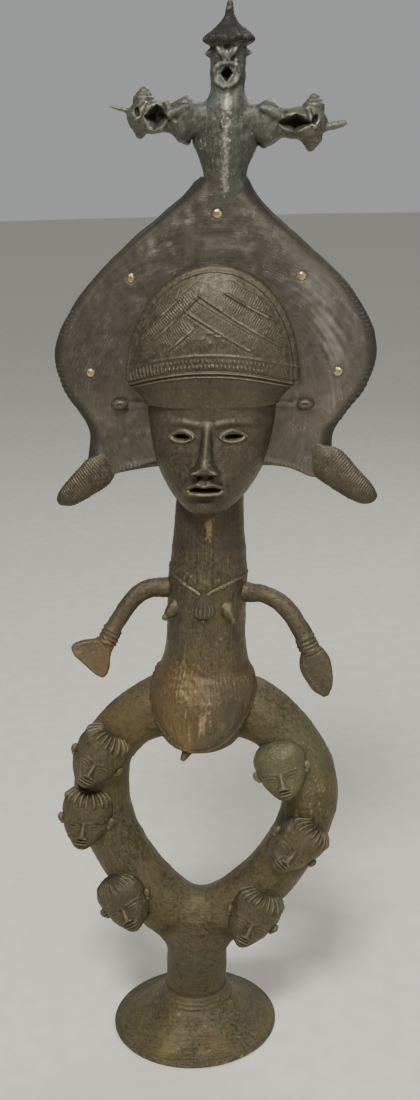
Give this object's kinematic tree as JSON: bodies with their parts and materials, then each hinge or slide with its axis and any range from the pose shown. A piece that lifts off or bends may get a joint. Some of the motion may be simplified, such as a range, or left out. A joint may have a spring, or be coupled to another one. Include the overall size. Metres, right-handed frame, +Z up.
{
  "type": "reliquary figure",
  "caption": "Tall cast bronze reliquary figure: a head on a wide crest plate with a three-headed finial, over a long body whose legs close in a ring on a round foot.",
  "frame": {"origin": "centre of the foot's flat underside", "axes": "+Z up through the figure, +X to the right as seen from the front, -Y out of the face. The figure leans about 3 degrees towards +X"},
  "size_m": [0.291, 0.156, 0.93],
  "materials": {
    "worn_bronze": "dark worn patina with brushed scratches and olive and brown patches",
    "bright_brass": "rubbed bright, dull in the ring round each head"
  },
  "bodies": {
    "root": {"reliquary_figure": "worn_bronze", "rivet_top": "bright_brass", "rivet_upper_left": "bright_brass", "rivet_upper_right": "bright_brass", "rivet_lower_left": "bright_brass", "rivet_lower_right": "bright_brass"}
  },
  "joints": []
}
